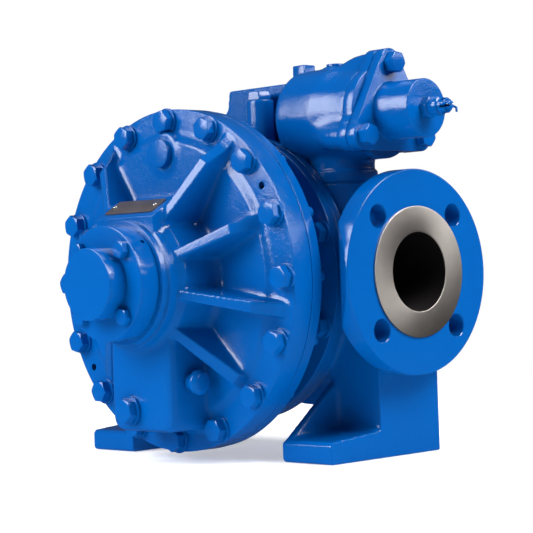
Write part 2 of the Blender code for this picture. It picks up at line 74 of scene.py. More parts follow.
def enamel(name, look):
    # Gloss enamel: an even pigment under a clear skin that mirrors the lamps, with the fine ripple of
    # sprayed paint and, on rough castings, the slow waves of the sand mould showing through
    made, tree = blankMaterial(name)
    where = addNode(tree, "ShaderNodeTexCoord").outputs["Object"]
    cloud = addNode(tree, "ShaderNodeTexNoise", {"Vector": where, "Scale": 18.0, "Detail": 3.0})
    tint = addNode(tree, "ShaderNodeMix", {"Factor": cloud.outputs["Fac"], "A": linear(look["shade"]),
                                           "B": linear(look["colour"])}, data_type="RGBA")
    tree.links.new(cloud.outputs["Fac"], tint.inputs["Factor"])
    tint.inputs[6].default_value = linear(look["shade"])
    tint.inputs[7].default_value = linear(look["colour"])
    peel = addNode(tree, "ShaderNodeTexNoise", {"Vector": where, "Scale": 1 / look["peelSize"], "Detail": 2.0})
    waves = addNode(tree, "ShaderNodeTexNoise", {"Vector": where, "Scale": 1 / look["waveSize"], "Detail": 3.0})
    low = addNode(tree, "ShaderNodeBump", {"Height": waves.outputs["Fac"], "Distance": look["waveDepth"],
                                           "Strength": 1.0})
    fine = addNode(tree, "ShaderNodeBump", {"Height": peel.outputs["Fac"], "Distance": look["peelDepth"],
                                            "Strength": 1.0, "Normal": low.outputs["Normal"]})
    shader = addNode(tree, "ShaderNodeBsdfPrincipled", {
        "Base Color": tint.outputs[2], "Roughness": look["roughness"], "IOR": 1.5, "Normal": fine.outputs["Normal"]})
    addNode(tree, "ShaderNodeOutputMaterial", {"Surface": shader.outputs["BSDF"]})
    return made


enamelLook = {
    "colour": "0057A6",
    "shade": "0053A0",
    "roughness": 0.11,
    "peelSize": 0.0016,
    "peelDepth": 0.00022,
    "waveSize": 0.010,
    "waveDepth": 0.00025,
}
castEnamel = enamel("gloss blue enamel over cast iron", enamelLook)
turnedLook = {**enamelLook, "waveDepth": 0.00005, "peelDepth": 0.00008, "roughness": 0.11}
turnedEnamel = enamel("gloss blue enamel over machined iron", turnedLook)


def bareMetal(name, look):
    # Bare metal: a bright grey mirror blurred by the tool marks, which run round the axis that is named
    made, tree = blankMaterial(name)
    where = addNode(tree, "ShaderNodeTexCoord").outputs["Object"]
    moved = addNode(tree, "ShaderNodeVectorMath", {0: where, 1: look["centre"]}, operation="SUBTRACT")
    flat = addNode(tree, "ShaderNodeVectorMath", {0: moved.outputs["Vector"], 1: look["across"]},
                   operation="MULTIPLY")
    reach = addNode(tree, "ShaderNodeVectorMath", {0: flat.outputs["Vector"]}, operation="LENGTH")
    turns = addNode(tree, "ShaderNodeMath", {0: reach.outputs["Value"], 1: 2 * pi / look["pitch"]},
                    operation="MULTIPLY")
    ridge = addNode(tree, "ShaderNodeMath", {0: turns.outputs["Value"]}, operation="SINE")
    stain = addNode(tree, "ShaderNodeTexNoise", {"Vector": where, "Scale": 60.0, "Detail": 4.0})
    tint = addNode(tree, "ShaderNodeMix", data_type="RGBA")
    tree.links.new(stain.outputs["Fac"], tint.inputs["Factor"])
    tint.inputs[6].default_value = linear(look["shade"])
    tint.inputs[7].default_value = linear(look["colour"])
    grooves = addNode(tree, "ShaderNodeBump", {"Height": ridge.outputs["Value"], "Distance": look["depth"],
                                               "Strength": 1.0})
    shader = addNode(tree, "ShaderNodeBsdfPrincipled", {
        "Base Color": tint.outputs[2], "Metallic": look["metal"], "Roughness": look["roughness"],
        "Normal": grooves.outputs["Normal"], "Anisotropic": look["drawn"]})
    if look["drawn"]:
        round = addNode(tree, "ShaderNodeTangent", direction_type="RADIAL", axis="X")
        tree.links.new(round.outputs["Tangent"], shader.inputs["Tangent"])
    addNode(tree, "ShaderNodeOutputMaterial", {"Surface": shader.outputs["BSDF"]})
    return made


flangeFaceLook = {
    "colour": "DAD3CD",
    "shade": "C4BDB7",
    "metal": 1.0,
    "roughness": 0.42,
    "drawn": 0.6,
    "centre": (-0.0224, 0.06875, 0.168),
    "across": (0.0, 1.0, 1.0),
    "pitch": 0.0008,
    "depth": 0.00002,
}
faceSteel = bareMetal("bare faced iron with turning marks", flangeFaceLook)
plateLook = {**flangeFaceLook, "colour": "6E6A70", "shade": "57504F", "metal": 0.7, "roughness": 0.5,
             "depth": 0.000003, "drawn": 0.0}
plateMetal = bareMetal("dull grey name plate metal", plateLook)
rivetLook = {**flangeFaceLook, "colour": "E4E0DA", "shade": "D2CDC6", "roughness": 0.22, "depth": 0.000001,
             "drawn": 0.0}
rivetMetal = bareMetal("bright drive rivet metal", rivetLook)


def ironWithPaintedShade(name, look):
    # Inside of the port: bare iron with the grain of the mould, dull, its near-black colour also standing in for the
    # painted shade of the deep bore
    made, tree = blankMaterial(name)
    where = addNode(tree, "ShaderNodeTexCoord").outputs["Object"]
    grain = addNode(tree, "ShaderNodeTexNoise", {"Vector": where, "Scale": 1 / look["grain"], "Detail": 5.0})
    tint = addNode(tree, "ShaderNodeMix", data_type="RGBA")
    tree.links.new(grain.outputs["Fac"], tint.inputs["Factor"])
    tint.inputs[6].default_value = linear(look["shade"])
    tint.inputs[7].default_value = linear(look["colour"])
    rough = addNode(tree, "ShaderNodeBump", {"Height": grain.outputs["Fac"], "Distance": look["depth"],
                                             "Strength": 1.0})
    shader = addNode(tree, "ShaderNodeBsdfPrincipled", {
        "Base Color": tint.outputs[2], "Metallic": 0.3, "Roughness": look["roughness"],
        "Normal": rough.outputs["Normal"]})
    addNode(tree, "ShaderNodeOutputMaterial", {"Surface": shader.outputs["BSDF"]})
    return made


# Near-black colours of the bore lining: bare iron darkened further as painted shade of the deep bore
boreIronShadeLook = {
    "colour": "1E181B",
    "shade": "0C090B",
    "roughness": 0.75,
    "grain": 0.002,
    "depth": 0.0002,
}
boreIronAndPaintedShade = ironWithPaintedShade("bare iron and painted shade of the port bore", boreIronShadeLook)
print("stage: finishes made")


def eased(corners, steps=4, loop=False):
    # Rounds each corner of an outline by the radius given as its third number
    points = []
    last = len(corners) - 1
    for k, corner in enumerate(corners):
        here = Vector(corner[:2])
        wanted = corner[2] if len(corner) > 2 else 0.0
        if wanted <= 0.0 or (not loop and k in (0, last)):
            points.append(here)
            continue
        back = Vector(corners[k - 1][:2]) - here
        ahead = Vector(corners[(k + 1) % len(corners)][:2]) - here
        half = back.angle(ahead) / 2
        reach = min(wanted / tan(half), back.length * 0.49, ahead.length * 0.49)
        start = here + back.normalized() * reach
        end = here + ahead.normalized() * reach
        for j in range(steps + 1):
            t = j / steps
            points.append(start * (1 - t) ** 2 + here * 2 * t * (1 - t) + end * t ** 2)
    return points


def spun(bm, corners, axis="Y", centre=(0.0, 0.0, 0.0), steps=160, loop=False, ease=4):
    # Turns an outline of (radius, along, corner radius) about an axis
    turn = {"X": Matrix.Rotation(pi / 2, 4, "Y"), "Y": Matrix.Rotation(-pi / 2, 4, "X"), "Z": Matrix()}[axis]
    place = Matrix.Translation(centre) @ turn
    rings = []
    for radius, along in eased(corners, ease, loop):
        if radius < 1e-7:
            rings.append([bm.verts.new(place @ Vector((0.0, 0.0, along)))])
            continue
        rings.append([bm.verts.new(place @ Vector((radius * cos(2 * pi * k / steps), radius * sin(2 * pi * k / steps),
                                                   along))) for k in range(steps)])
    pairs = list(zip(rings, rings[1:])) + ([(rings[-1], rings[0])] if loop else [])
    for low, high in pairs:
        for k in range(steps):
            n = (k + 1) % steps
            if len(low) == 1 and len(high) == 1:
                continue
            if len(low) == 1:
                bm.faces.new((low[0], high[k], high[n]))
            elif len(high) == 1:
                bm.faces.new((low[k], high[0], low[n]))
            else:
                bm.faces.new((low[k], high[k], high[n], low[n]))


def stacked(bm, rings):
    # Skins outlines that have the same number of points and closes both ends
    rows = [[bm.verts.new(p) for p in ring] for ring in rings]
    bm.faces.new(rows[0])
    bm.faces.new(list(reversed(rows[-1])))
    for low, high in zip(rows, rows[1:]):
        for k in range(len(low)):
            n = (k + 1) % len(low)
            bm.faces.new((low[k], high[k], high[n], low[n]))


def wire(bm, path, radius, steps=10):
    # Round wire along a path
    rings = []
    for k, point in enumerate(path):
        way = (path[min(k + 1, len(path) - 1)] - path[max(k - 1, 0)]).normalized()
        across = way.orthogonal().normalized() if k == 0 else (across - way * across.dot(way)).normalized()
        up = way.cross(across)
        rings.append([point + (across * cos(2 * pi * j / steps) + up * sin(2 * pi * j / steps)) * radius
                      for j in range(steps)])
    stacked(bm, rings)


def lifted(outline, height, plane):
    return [{"XZ": (p[0], height, p[1]), "YZ": (height, p[0], p[1]), "XY": (p[0], p[1], height)}[plane]
            for p in outline]


def bar(bm, outline, low, high, plane):
    stacked(bm, [lifted(outline, low, plane), lifted(outline, high, plane)])


def meshOf(bm, name="part", sharp=38.0, shift=False):
    # A finished mesh out of a bmesh, with outward faces and sharp edges kept
    bmesh.ops.remove_doubles(bm, verts=bm.verts, dist=1e-6)
    bmesh.ops.recalc_face_normals(bm, faces=bm.faces)
    if shift:
        bmesh.ops.translate(bm, verts=bm.verts, vec=rowShift)
    mesh = bpy.data.meshes.new(name)
    bm.to_mesh(mesh)
    bm.free()
    mesh.shade_smooth()
    if sharp:
        mesh.set_sharp_from_angle(angle=radians(sharp))
    return mesh


def shownMesh(obj):
    graph = bpy.context.evaluated_depsgraph_get()
    return bpy.data.meshes.new_from_object(obj.evaluated_get(graph))


def linked(name, mesh):
    obj = bpy.data.objects.new(name, mesh)
    scene.collection.objects.link(obj)
    return obj


def filleted(mesh, evenPasses, fillPasses):
    # Evens the skin a little all over, then goes on filling only its hollow corners, as a moulder does
    count = len(mesh.vertices)
    where = np.empty(count * 3)
    ends = np.empty(len(mesh.edges) * 2, dtype=np.int64)
    mesh.edges.foreach_get("vertices", ends)
    first, second = ends[0::2], ends[1::2]
    share = 1.0 / np.maximum(np.bincount(ends, minlength=count), 1)
    mesh.vertices.foreach_get("co", where)
    where = where.reshape(-1, 3)
    outward = np.empty(count * 3, dtype=np.float32)
    for step in range(evenPasses + fillPasses):
        if step >= evenPasses and (step - evenPasses) % 6 == 0:
            mesh.vertices.foreach_set("co", where.ravel())
            mesh.update()
            mesh.vertex_normals.foreach_get("vector", outward)
        around = np.empty_like(where)
        for axis in range(3):
            around[:, axis] = (np.bincount(first, where[second, axis], count)
                               + np.bincount(second, where[first, axis], count)) * share
        move = around - where
        if step >= evenPasses:
            facing = outward.reshape(-1, 3)
            rise = np.einsum("ij,ij->i", move, facing)
            move = facing * np.maximum(rise - 0.000004, 0.0)[:, None]
        where += move * (0.5 if step < evenPasses else 0.85)
    mesh.vertices.foreach_set("co", where.ravel())
    mesh.update()


def fused(bm, look, most):
    # Closed shapes that cross each other become one skin with the soft corners of a casting
    rough = linked("rough", meshOf(bm, "rough", 0))
    step = rough.modifiers.new("fuse", "REMESH")
    step.mode = "VOXEL"
    step.voxel_size = look["voxel"]
    skin = shownMesh(rough)
    bpy.data.objects.remove(rough)
    filleted(skin, look["evenPasses"], look["fillPasses"])
    count = sum(len(p.vertices) - 2 for p in skin.polygons)
    if count > most:
        heavy = linked("heavy", skin)
        step = heavy.modifiers.new("thin", "DECIMATE")
        step.ratio = most / count
        skin = shownMesh(heavy)
        bpy.data.objects.remove(heavy)
    skin.shade_smooth()
    return skin


def opened(mesh, bm):
    # Takes closed cutters out of a mesh
    target = linked("target", mesh)
    tool = linked("tool", meshOf(bm, "tool", 0))
    step = target.modifiers.new("open", "BOOLEAN")
    step.operation = "DIFFERENCE"
    step.solver = "EXACT"
    step.object = tool
    made = shownMesh(target)
    bpy.data.objects.remove(target)
    bpy.data.objects.remove(tool)
    return made


def assembled(name, meshes, material, stands=(), sharp=38.0, shift=True):
    # Puts meshes together as one piece in the row frame and hands it to the frame
    bm = bmesh.new()
    for mesh in meshes:
        bm.from_mesh(mesh)
    if shift:
        bmesh.ops.translate(bm, verts=bm.verts, vec=rowShift)
    mesh = bpy.data.meshes.new(name)
    bm.to_mesh(mesh)
    bm.free()
    mesh.materials.clear()
    mesh.materials.append(material)
    mesh.polygons.foreach_set("material_index", [0] * len(mesh.polygons))
    mesh.shade_smooth()
    if sharp:
        mesh.set_sharp_from_angle(angle=radians(sharp))
    obj = linked(name, mesh)
    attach(obj, "root")
    if stands:
        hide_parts(*stands)
    return obj


def onCircle(radius, angle):
    return radius * cos(radians(angle)), radius * sin(radians(angle))


def hexagonal(bm, across, low, high, axis, centre, turnBy=0.0, rise=0.42):
    # Hexagon head along an axis, with the turned chamfer that rounds its outer corners
    turn = {"X": Matrix.Rotation(pi / 2, 4, "Y"), "Y": Matrix.Rotation(-pi / 2, 4, "X"), "Z": Matrix()}[axis]
    place = Matrix.Translation(centre) @ turn
    flat = across / 2
    way = 1 if high > low else -1
    steps = 72
    reach = []
    for k in range(steps):
        a = (2 * pi * k / steps + radians(turnBy) + pi / 6) % (pi / 3) - pi / 6
        reach.append(min(flat / cos(a), flat / cos(pi / 6) * 0.993))
    soft = flat * 0.035
    rows = [[(r, low) for r in reach]]
    rows.append([(r, high - way * (max(0.0, r - flat * 0.97) * rise + soft)) for r in reach])
    rows.append([(r - soft * 0.4, high - way * (max(0.0, r - flat * 0.97) * rise + soft * 0.45)) for r in reach])
    rows.append([(flat * 0.95, high - way * soft * 0.25)] * steps)
    rows.append([(flat * 0.90, high)] * steps)
    rings = [[bm.verts.new(place @ Vector((r * cos(2 * pi * k / steps), r * sin(2 * pi * k / steps), z)))
              for k, (r, z) in enumerate(row)] for row in rows]
    for first, second in zip(rings, rings[1:]):
        for k in range(steps):
            n = (k + 1) % steps
            bm.faces.new((first[k], second[k], second[n], first[n]))
    bm.faces.new(rings[0])
    bm.faces.new(list(reversed(rings[-1])))


def fastenerNodes():
    # Node group that stands one fastener on each point, along the point's axis and turned at random
    group = bpy.data.node_groups.new("fasteners on points", "GeometryNodeTree")
    sockets = group.interface
    sockets.new_socket("Geometry", in_out="INPUT", socket_type="NodeSocketGeometry")
    sockets.new_socket("Fastener", in_out="INPUT", socket_type="NodeSocketObject")
    sockets.new_socket("Turn Range", in_out="INPUT", socket_type="NodeSocketFloat")
    sockets.new_socket("Seed", in_out="INPUT", socket_type="NodeSocketInt")
    sockets.new_socket("Finish", in_out="INPUT", socket_type="NodeSocketMaterial")
    sockets.new_socket("Geometry", in_out="OUTPUT", socket_type="NodeSocketGeometry")
    given = addNode(group, "NodeGroupInput")
    shape = addNode(group, "GeometryNodeObjectInfo", {"Object": given.outputs["Fastener"]})
    axis = addNode(group, "GeometryNodeInputNamedAttribute", {"Name": "axis"}, data_type="FLOAT_VECTOR")
    aimed = addNode(group, "FunctionNodeAlignRotationToVector", {"Vector": axis.outputs["Attribute"]}, axis="Z")
    chance = addNode(group, "FunctionNodeRandomValue", data_type="FLOAT")
    group.links.new(given.outputs["Turn Range"], chance.inputs[3])
    group.links.new(given.outputs["Seed"], chance.inputs["Seed"])
    spin = addNode(group, "FunctionNodeAxisAngleToRotation", {"Axis": (0.0, 0.0, 1.0), "Angle": chance.outputs[1]})
    turned = addNode(group, "FunctionNodeRotateRotation", {
        "Rotation": aimed.outputs["Rotation"], "Rotate By": spin.outputs["Rotation"]}, rotation_space="LOCAL")
    stood = addNode(group, "GeometryNodeInstanceOnPoints", {
        "Points": given.outputs["Geometry"], "Instance": shape.outputs["Geometry"],
        "Rotation": turned.outputs["Rotation"]})
    real = addNode(group, "GeometryNodeRealizeInstances", {"Geometry": stood.outputs["Instances"]})
    painted = addNode(group, "GeometryNodeSetMaterial", {
        "Geometry": real.outputs["Geometry"], "Material": given.outputs["Finish"]})
    addNode(group, "NodeGroupOutput", {"Geometry": painted.outputs["Geometry"]})
    return group


fastenerGroup = fastenerNodes()


def fastened(name, bm, places, axis, finish, values):
    # Repeats one fastener, drawn upright at the origin, at every place
    shape = linked(name + "Shape", meshOf(bm, name, 30.0))
    dots = bpy.data.meshes.new(name)
    dots.from_pydata([Vector(p) + rowShift for p in places], [], [])
    facing = dots.attributes.new("axis", "FLOAT_VECTOR", "POINT")
    for k in range(len(places)):
        facing.data[k].vector = axis[k] if isinstance(axis, list) else axis
    obj = linked(name, dots)
    step = obj.modifiers.new("stand", "NODES")
    keys = {item.name: item.identifier for item in fastenerGroup.interface.items_tree
            if item.in_out == "INPUT" and item.name != "Geometry"}
    step.node_group = fastenerGroup
    step[keys["Fastener"]] = shape
    step[keys["Turn Range"]] = values["turnRange"]
    step[keys["Seed"]] = values["seed"]
    step[keys["Finish"]] = finish
    step.show_viewport = True
    made = shownMesh(obj)
    obj.modifiers.clear()
    obj.data = made
    made.name = name
    bpy.data.objects.remove(shape)
    made.shade_smooth()
    made.set_sharp_from_angle(angle=radians(30.0))
    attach(obj, "root")
    return obj


def boltShape(across, height, washerR=0.0, washerT=0.0):
    # Hexagon bolt head, on a plain washer where one is asked for, standing on its seat
    bm = bmesh.new()
    if washerR:
        spun(bm, [(0.0, -0.0005), (washerR, -0.0005), (washerR, washerT, 0.0004), (0.0, washerT)], "Z", steps=48)
    spun(bm, [(0.0, washerT - 0.0002), (across * 0.475, washerT - 0.0002), (across * 0.475, washerT + 0.0006),
              (0.0, washerT + 0.0006)], "Z", steps=48)
    hexagonal(bm, across, washerT + 0.0005, washerT + height, "Z", (0.0, 0.0, 0.0))
    return bm


cover = {
    "ringFaceY": -0.1275,
    "ringR": 0.160,
    "floorY": -0.1310,
    "hubR": 0.0650,
    "noseR": 0.0610,
    "faceY": -0.1905,
    "ribT": 0.0082,
    "lowRibT": 0.0105,
    "ledgeHalf": 0.0400,
    "sumpHalf": 0.0440,
    "sumpFaceY": -0.1730,
    "sumpBottomZ": -0.1390,
    "boltCircleR": 0.1488,
    "boltAcross": 0.0190,
    "boltHeight": 0.0085,
    "jackHoleR": 0.0035,
    "voxel": 0.0010,
    "evenPasses": 3,
    "fillPasses": 36,
}


def radialRib(bm, angle, ridge, thickness):
    # Rib under a ridge of (radius, y) points, a little thicker towards its foot
    outline = [(ridge[0][0], -0.1180)] + ridge + [(ridge[-1][0], -0.1180)]
    d = Vector((*onCircle(1.0, angle), 0.0))
    d = Vector((d.x, 0.0, d.y))
    side = Vector((-d.z, 0.0, d.x))
    rings = []
    for sign in (-1, 1):
        rings.append([d * r + Vector((0.0, y, 0.0)) + side * sign * (thickness / 2 + (y - ridge[0][1]) * 0.05)
                      for r, y in outline])
    stacked(bm, rings)


def frontCover():
    bm = bmesh.new()
    floorY = cover["floorY"]
    spun(bm, [(0.0, -0.1050), (cover["ringR"] - 0.001, -0.1050), (cover["ringR"] - 0.001, -0.1272), (0.1345, -0.1272),
              (0.1270, floorY), (cover["hubR"] + 0.0070, floorY - 0.0005), (cover["hubR"] + 0.0020, floorY - 0.0050),
              (cover["hubR"], -0.1690), (cover["noseR"] + 0.0005, -0.1738), (cover["noseR"] - 0.002, -0.1800),
              (0.0, -0.1800)], steps=256)
    for angle in (56.25, -11.25, 123.75, 191.25):
        radialRib(bm, angle, [(0.045, -0.1750), (0.0640, -0.1750), (0.1295, -0.1497), (0.1370, -0.1410),
                              (0.1440, -0.1340), (0.1560, -0.1268)], cover["ribT"])
    for angle in (22.5, 157.5):
        radialRib(bm, angle, [(0.045, -0.1740), (0.0645, -0.1740), (0.1160, -0.1532), (0.1280, -0.1340),
                              (0.1335, -0.1268)], cover["ribT"])
    for angle in (-45.0, 225.0):
        radialRib(bm, angle, [(0.045, -0.1712), (0.0650, -0.1712), (0.1280, -0.1370), (0.1345, -0.1268)],
                  cover["lowRibT"])
    rings = []
    for radius, y in ((0.1385, -0.1200), (0.1380, -0.1275), (0.1285, -0.1340)):
        arc = [onCircle(radius, 56.25 + 67.5 * k / 16) for k in range(17)]
        rings.append([(x, y, z) for x, z in arc + [(-0.028, 0.045), (0.028, 0.045)]])
    stacked(bm, rings)
    spun(bm, [(0.0, -0.1240), (0.0205, -0.1240), (0.0205, -0.1338), (0.0180, -0.1352), (0.0, -0.1352)],
         "Y", (0.0, 0.0, 0.1190), 64)
    half = cover["ledgeHalf"]
    bar(bm, [(-0.1850, 0.030), (-0.1850, 0.0600), (-0.1600, 0.0750), (-0.1250, 0.0750), (-0.1250, 0.030)],
        -half, half, "YZ")
    half = cover["sumpHalf"]
    rows = []
    for inset, y in ((0.0065, cover["sumpFaceY"]), (0.0030, cover["sumpFaceY"] + 0.0020),
                     (0.0012, cover["sumpFaceY"] + 0.0070), (0.0, -0.1180)):
        w = half - inset
        low = cover["sumpBottomZ"] + inset
        rows.append(lifted(eased([(-w, -0.030), (-w, low, 0.014), (w, low, 0.014), (w, -0.030)], 6), y, "XZ"))
    stacked(bm, rows)
    skin = fused(bm, cover, 160000)
    holes = bmesh.new()
    for angle in (33.75, 213.75):
        x, z = onCircle(0.148, angle)
        spun(holes, [(0.0, -0.1400), (cover["jackHoleR"], -0.1400), (cover["jackHoleR"], -0.1100), (0.0, -0.1100)],
             "Y", (x, 0.0, z), 32)
    skin = opened(skin, holes.copy())

    # Machined faces: the bolting ring, the hub's nose and the round boss keep their crisp edges
    bm = bmesh.new()
    spun(bm, [(0.1300, -0.1051), (cover["ringR"], -0.1051, 0.0008), (cover["ringR"], cover["ringFaceY"], 0.0010),
              (0.1300, cover["ringFaceY"])], steps=256, loop=True)
    ring = opened(meshOf(bm), holes)
    bm = bmesh.new()
    spun(bm, [(0.0, -0.1700), (0.0608, -0.1700), (0.0608, -0.1840, 0.0008), (0.0576, -0.1848, 0.0006),
              (0.0572, cover["faceY"] - 0.0001, 0.0008), (0.0, cover["faceY"] - 0.0001)])
    spun(bm, [(0.0, -0.1300), (0.0136, -0.1300), (0.0133, -0.1407, 0.0012), (0.0, -0.1408)], "Y", (0.0, 0.0, 0.119), 64)
    assembled("front_cover_casting", [skin, ring, meshOf(bm)], castEnamel, ["front_cover"])

    places = [(*onCircle(cover["boltCircleR"], 90 - 22.5 * k),) for k in range(16)]
    fastened("cover_bolts", boltShape(cover["boltAcross"], cover["boltHeight"], 0.0125, 0.0022),
             [(x, cover["ringFaceY"] - 0.0001, z) for x, z in places], (0.0, -1.0, 0.0), turnedEnamel,
             {"turnRange": pi / 3, "seed": 4})


frontCover()
print("stage: front cover")

hub = {
    "collarR": 0.0528,
    "collarFaceY": -0.2120,
    "capR": 0.0328,
    "capFaceY": -0.2315,
    "boltCircleR": 0.0425,
    "boltAcross": 0.0140,
    "boltHeight": 0.0065,
}


def hubPieces():
    bm = bmesh.new()
    spun(bm, [(0.0, cover["faceY"] - 0.0003), (hub["collarR"], cover["faceY"] - 0.0003, 0.0005),
              (hub["collarR"], hub["collarFaceY"], 0.0010), (0.0, hub["collarFaceY"])], steps=192)
    hole = bmesh.new()
    spot = Vector((hub["collarR"] * 0.72, -0.1960, hub["collarR"] * 0.694))
    spun(hole, [(0.0, -0.004), (0.0022, -0.004), (0.0022, 0.006), (0.0, 0.006)], "Z", (0.0, 0.0, 0.0), 24)
    bmesh.ops.transform(hole, matrix=Matrix.Translation(spot) @ Vector((0.72, 0.0, 0.694)).to_track_quat("Z", "Y")
                        .to_matrix().to_4x4(), verts=hole.verts)
    assembled("bearing_collar_disc", [opened(meshOf(bm), hole)], turnedEnamel, ["bearing_collar"])
    bm = bmesh.new()
    spun(bm, [(0.0, hub["collarFaceY"] - 0.0003), (hub["capR"], hub["collarFaceY"] - 0.0003, 0.0003),
              (hub["capR"], hub["capFaceY"], 0.0009), (0.0, hub["capFaceY"])], steps=160)
    assembled("shaft_end_cap_disc", [meshOf(bm)], turnedEnamel, ["shaft_end_cap"])
    places = [onCircle(hub["boltCircleR"], 45 + 90 * k) for k in range(4)]
    fastened("collar_bolts", boltShape(hub["boltAcross"], hub["boltHeight"], 0.0, 0.0),
             [(x, hub["collarFaceY"] - 0.0001, z) for x, z in places], (0.0, -1.0, 0.0), turnedEnamel,
             {"turnRange": pi / 3, "seed": 2})


hubPieces()

plate = {
    "length": 0.0660,
    "thickness": 0.0012,
    "low": (-0.1800, 0.0633),
    "high": (-0.1610, 0.0747),
    "rivetR": 0.0021,
}


def namePlate():
    low = Vector(plate["low"])
    high = Vector(plate["high"])
    along = (high - low).normalized()
    up = Vector((-along.y, along.x))
    wide = (high - low).length
    half = plate["length"] / 2
    outline = eased([(-half, 0.0, 0.0018), (half, 0.0, 0.0018), (half, wide, 0.0018), (-half, wide, 0.0018)], 4, True)
    bm = bmesh.new()
    rows = []
    for inset, height in ((0.0, 0.0), (0.0, plate["thickness"] - 0.0002), (0.0003, plate["thickness"])):
        row = []
        for u, v in outline:
            u *= 1 - inset / half
            v = wide / 2 + (v - wide / 2) * (1 - 2 * inset / wide)
            flat = low + along * v + up * height
            row.append((u, flat.x, flat.y))
        rows.append(row)
    stacked(bm, rows)
    assembled("name_plate_sheet", [meshOf(bm)], plateMetal, ["name_plate"])
    rivet = bmesh.new()
    r = plate["rivetR"]
    spun(rivet, [(0.0, -0.0004), (r, -0.0004), (r, 0.0002), (r * 0.86, r * 0.45), (r * 0.5, r * 0.72), (0.0, r * 0.8)],
         "Z", steps=24)
    places = []
    for u in (-half + 0.0048, half - 0.0048):
        flat = low + along * (wide / 2) + up * plate["thickness"]
        places.append((u, flat.x, flat.y))
    fastened("name_plate_rivets", rivet, places, (0.0, up.x, up.y), rivetMetal, {"turnRange": 0.0, "seed": 1})


namePlate()

sumpPlugs = {
    "drainAcross": 0.0215,
    "drainCentre": (-0.0140, 0.0, -0.1180),
    "levelY": -0.1490,
    "levelZ": -0.0925,
}


def sumpFittings():
    face = cover["sumpFaceY"] - 0.0003
    bm = bmesh.new()
    spun(bm, [(0.0, face), (0.0140, face), (0.0140, face - 0.0028, 0.0005), (0.0, face - 0.0028)], "Y",
         sumpPlugs["drainCentre"], 64)
    hexagonal(bm, sumpPlugs["drainAcross"], face - 0.0026, face - 0.0110, "Y", sumpPlugs["drainCentre"], 12.0)
    assembled("drain_plug_head", [meshOf(bm)], turnedEnamel, ["drain_plug"])
    side = 0.0438
    bm = bmesh.new()
    spun(bm, [(0.0, side), (0.0080, side), (0.0082, side + 0.0075, 0.0010), (0.0114, side + 0.0088, 0.0012),
              (0.0118, side + 0.0125, 0.0030), (0.0085, side + 0.0165, 0.0040), (0.0, side + 0.0180)], "X",
         (0.0, sumpPlugs["levelY"], sumpPlugs["levelZ"]), 64)
    assembled("oil_level_plug_head", [meshOf(bm)], castEnamel, ["oil_level_plug"])


sumpFittings()
print("stage: hub, plate and plugs")

bracket = {
    "waistR": 0.100,
    "ringBackY": -0.0920,
    "flangeY": -0.0490,
    "flangeR": 0.137,
    "jointY": -0.0388,
    "boltCircleR": 0.1240,
    "studR": 0.0057,
    "studEndY": -0.0830,
}


def bearingBracket():
    bm = bmesh.new()
    spun(bm, [(0.0, -0.1047), (0.1600, -0.1047, 0.0004), (0.1600, -0.1015, 0.0006), (0.1592, -0.1008, 0.0006),
              (0.1592, bracket["ringBackY"], 0.0015),
              (bracket["waistR"] + 0.0012, bracket["ringBackY"], 0.0080),
              (bracket["waistR"], bracket["flangeY"], 0.0080),
              (bracket["flangeR"], bracket["flangeY"], 0.0012), (bracket["flangeR"], bracket["jointY"], 0.0006),
              (0.0, bracket["jointY"])], steps=256, ease=6)
    assembled("bearing_bracket_casting", [meshOf(bm)], turnedEnamel, ["bearing_bracket"])
    stud = bmesh.new()
    r = bracket["studR"]
    long = bracket["studEndY"] - bracket["ringBackY"]
    spun(stud, [(0.0, -0.001), (r, -0.001), (r, long, 0.0012), (0.0, long)], "Z", steps=32)
    places = [onCircle(0.1490, 90 - 22.5 * k) for k in range(16)]
    fastened("cover_bolt_ends", stud, [(x, bracket["ringBackY"], z) for x, z in places], (0.0, 1.0, 0.0),
             turnedEnamel, {"turnRange": 0.0, "seed": 1})
    places = [onCircle(bracket["boltCircleR"], 18 + 40 * k) for k in range(9)]
    fastened("bracket_bolts", boltShape(0.0185, 0.0085, 0.0125, 0.0022),
             [(x, bracket["flangeY"] - 0.0001, z) for x, z in places], (0.0, -1.0, 0.0), turnedEnamel,
             {"turnRange": pi / 3, "seed": 7})


bearingBracket()
print("stage: bracket")

body = {
    "drumR": 0.106,
    "frontY": -0.0385,
    "rearY": 0.0640,
    "portFaceX": 0.192,
    "flangeT": 0.021,
    "flangeR": 0.094,
    "raisedR": 0.060,
    "raisedT": 0.0017,
    "boreR": 0.0361,
    "portNeckR": 0.047,
    "holeR": 0.0105,
    "holeCircleR": 0.0722,
    "neckX": 0.101,
    "neckY": 0.003,
    "neckRingR": 0.0320,
    "neckR": 0.0295,
    "seatZ": 0.084,
    "bossXY": (0.011, -0.0165),
    "bossR": 0.0133,
    "bossTopZ": 0.172,
    "voxel": 0.0013,
    "evenPasses": 4,
    "fillPasses": 40,
}


